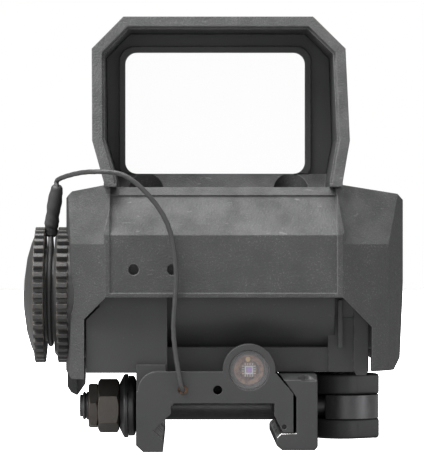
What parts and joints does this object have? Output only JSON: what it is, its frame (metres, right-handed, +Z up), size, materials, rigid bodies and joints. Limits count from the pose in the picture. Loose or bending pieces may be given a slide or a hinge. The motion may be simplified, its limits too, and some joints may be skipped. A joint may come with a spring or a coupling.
{
  "type": "reflex red dot sight",
  "caption": "Reflex red dot sight: armoured octagonal hood round a tilted window, transverse battery tube, brightness ring, light sensor and a quick-release rail clamp.",
  "frame": {"origin": "centre of the roof of the rail channel in the clamp base", "axes": "+Z up, away from the rail; +Y along the rail, from the target side to the user's side; +X to the right as seen from the target side"},
  "size_m": [0.0643, 0.0919, 0.0727],
  "materials": {
    "armor_polymer": "grained charcoal",
    "black_anodised": "matte black anodised",
    "mount_anodised": "matte dark grey anodised",
    "knob_anodised": "satin dark grey anodised",
    "black_oxide_steel": "brown-black oxide",
    "dark_steel": "black phosphate",
    "bright_steel": "bright",
    "coated_glass": "coated, clear",
    "sensor_glass": "polished",
    "red_glass": "polished",
    "cord_jacket": "satin dark grey",
    "black_rubber": "matte",
    "copper": "worn",
    "gold_plate": "plated",
    "board_green": "solder mask",
    "board_copper": "copper coloured mask",
    "chip_silver": "tinned",
    "cell_sleeve": "printed sleeve, plain",
    "diode_red": "gloss"
  },
  "bodies": {
    "base": {"armor_shell": "armor_polymer", "housing": "black_anodised", "rear_cover": "armor_polymer", "cover_screws": "dark_steel", "lens_frame": "black_anodised", "objective_lens": "coated_glass", "shell_screws": "dark_steel", "battery_cell": "cell_sleeve", "battery_contact": "gold_plate", "tube_plug": "black_anodised", "tether_cord": "cord_jacket", "tether_ferrule": "copper", "selector_detents": "bright_steel", "rail_base": "mount_anodised", "base_screws": "dark_steel", "guide_pins": "bright_steel", "jaw_springs": "bright_steel", "cross_bolt": "dark_steel", "clamp_nut": "black_oxide_steel", "jam_nut": "black_oxide_steel", "spring_washers": "dark_steel", "lever_pin": "dark_steel", "sensor_window": "sensor_glass", "sensor_seal": "black_rubber", "sensor_board": "board_copper", "sensor_chip": "chip_silver", "circuit_board": "board_green", "board_screws": "bright_steel", "emitter_window": "red_glass", "return_spring": "bright_steel"},
    "jaw": {"clamp_jaw": "mount_anodised"},
    "lever": {"cam_lever": "mount_anodised"},
    "tether": {"tether_loop": "cord_jacket", "tether_sleeve": "cord_jacket"},
    "cap": {"battery_cap": "knob_anodised", "battery_spring": "bright_steel", "cap_o_ring": "black_rubber"},
    "selector": {"selector_ring": "knob_anodised"},
    "emitter_slide": {"emitter_carriage": "mount_anodised"},
    "emitter": {"emitter_holder": "mount_anodised", "emitter_diode": "diode_red"},
    "windage": {"windage_screw": "dark_steel"},
    "elevation": {"elevation_screw": "dark_steel"}
  },
  "joints": [
    {"name": "lever_swing", "type": "hinge", "parent": "base", "child": "lever", "pos_m": [0.0223, -0.01, 0], "axis": [0, 0, -1], "range_deg": [0, 120]},
    {"name": "jaw_open", "type": "slide", "parent": "base", "child": "jaw", "axis": [1, 0, 0], "range_m": [0, 0.0018]},
    {"name": "cap_travel", "type": "slide", "parent": "base", "child": "tether", "axis": [-1, 0, 0], "range_m": [0, 0.003], "deforming": ["tether_cord"]},
    {"name": "cap_turn", "type": "hinge", "parent": "tether", "child": "cap", "pos_m": [-0.03, -0.0145, 0.0177], "axis": [1, 0, 0], "range_deg": [0, 720]},
    {"name": "brightness_turn", "type": "hinge", "parent": "base", "child": "selector", "pos_m": [-0.026, -0.0145, 0.0177], "axis": [1, 0, 0], "range_deg": [0, 300]},
    {"name": "windage_turn", "type": "hinge", "parent": "base", "child": "windage", "pos_m": [0.0305, 0.045, 0.0245], "axis": [1, 0, 0], "range_deg": [-360, 360]},
    {"name": "elevation_turn", "type": "hinge", "parent": "base", "child": "elevation", "pos_m": [0.0005, 0.0505, 0.034], "axis": [0, 0, 1], "range_deg": [-360, 360]},
    {"name": "emitter_shift", "type": "slide", "parent": "base", "child": "emitter_slide", "axis": [1, 0, 0], "range_m": [-0.0004, 0.0004]},
    {"name": "emitter_lift", "type": "slide", "parent": "emitter_slide", "child": "emitter", "axis": [0, 0.3551, 0.9348], "range_m": [-0.0004, 0.0004]}
  ],
  "couplings": [
    {"joint": "jaw_open", "follows": "lever_swing", "m_per_rad": 0.00085944},
    {"joint": "cap_travel", "follows": "cap_turn", "m_per_rad": 0.00023873},
    {"joint": "windage_turn", "follows": "emitter_shift", "rad_per_m": -15700},
    {"joint": "elevation_turn", "follows": "emitter_lift", "rad_per_m": -15700}
  ]
}
